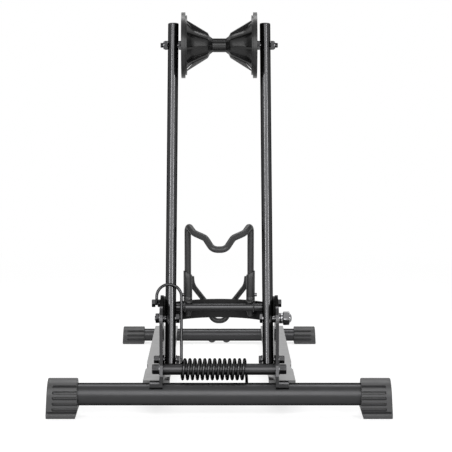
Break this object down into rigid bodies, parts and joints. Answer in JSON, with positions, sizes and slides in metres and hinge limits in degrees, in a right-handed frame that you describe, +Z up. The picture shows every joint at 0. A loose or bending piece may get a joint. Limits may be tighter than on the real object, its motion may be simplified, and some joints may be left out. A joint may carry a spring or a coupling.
{
  "type": "floor bike rack",
  "caption": "Floor rack for one bicycle: two foot tubes joined by rails, a sprung swing arm with a waisted roller that rests on the tyre, and a sliding wheel hoop.",
  "frame": {"origin": "on the floor, below the centre of the rack's outline", "axes": "+Z up, +Y from the front foot to the rear foot, along the wheel's track, +X to the right seen from the front foot"},
  "size_m": [0.38, 0.47, 0.44],
  "materials": {
    "frame_paint": "satin",
    "rail_paint": "satin",
    "cradle_coating": "matte",
    "cap_rubber": "matte",
    "plug_plastic": "satin",
    "roller_plastic": "satin",
    "bush_nylon": "satin",
    "spring_steel": "gloss",
    "blackened_steel": "satin",
    "bright_steel": "polished"
  },
  "bodies": {
    "base": {"front_foot_tube": "frame_paint", "front_cap_left": "cap_rubber", "front_cap_right": "cap_rubber", "rear_foot_tube": "frame_paint", "rear_cap_left": "cap_rubber", "rear_cap_right": "cap_rubber", "rear_studs": "cap_rubber", "rail_left": "rail_paint", "rail_right": "rail_paint", "side_bracket_left": "frame_paint", "side_bracket_right": "frame_paint", "spring_tube": "frame_paint", "spring_tube_bolts": "blackened_steel", "torsion_spring": "spring_steel", "pivot_bolts": "blackened_steel", "pivot_washers": "bright_steel", "pivot_nuts": "blackened_steel", "cross_tube": "frame_paint", "cradle_band": "cradle_coating", "cradle_bolt_left": "blackened_steel", "cradle_nut_left": "blackened_steel", "cradle_bolt_right": "blackened_steel", "sleeve_left": "cradle_coating", "sleeve_right": "cradle_coating", "sleeve_screws": "blackened_steel", "stop_rod": "cradle_coating"},
    "hoop": {"wheel_hoop": "cradle_coating"},
    "arm": {"upright_left": "frame_paint", "upright_right": "frame_paint", "upright_plug_left": "plug_plastic", "upright_plug_right": "plug_plastic", "guide_bolt_left": "blackened_steel", "guide_washer_left": "blackened_steel", "guide_nut_left": "blackened_steel", "guide_bolt_right": "bright_steel", "guide_washer_right": "bright_steel", "guide_spacer_right": "bright_steel", "guide_cap_nut_right": "bright_steel", "roller_axle": "blackened_steel", "axle_inner_nuts": "blackened_steel", "axle_lock_nuts": "blackened_steel"},
    "roller": {"roller_half_left": "roller_plastic", "roller_half_right": "roller_plastic", "roller_bushes": "bush_nylon"}
  },
  "joints": [
    {"name": "arm_swing", "type": "hinge", "parent": "base", "child": "arm", "pos_m": [0, -0.1901, 0.0575], "axis": [1, 0, 0], "range_deg": [0, 22], "stiffness_Nm_per_rad": 1.35, "springref_deg": -17.19, "deforming": ["torsion_spring"]},
    {"name": "roller_spin", "type": "hinge", "parent": "arm", "child": "roller", "pos_m": [0, -0.11666, 0.403], "axis": [1, 0, 0], "continuous": true},
    {"name": "hoop_slide", "type": "slide", "parent": "base", "child": "hoop", "axis": [0, 0, 1], "range_m": [-0.03, 0.02]}
  ]
}
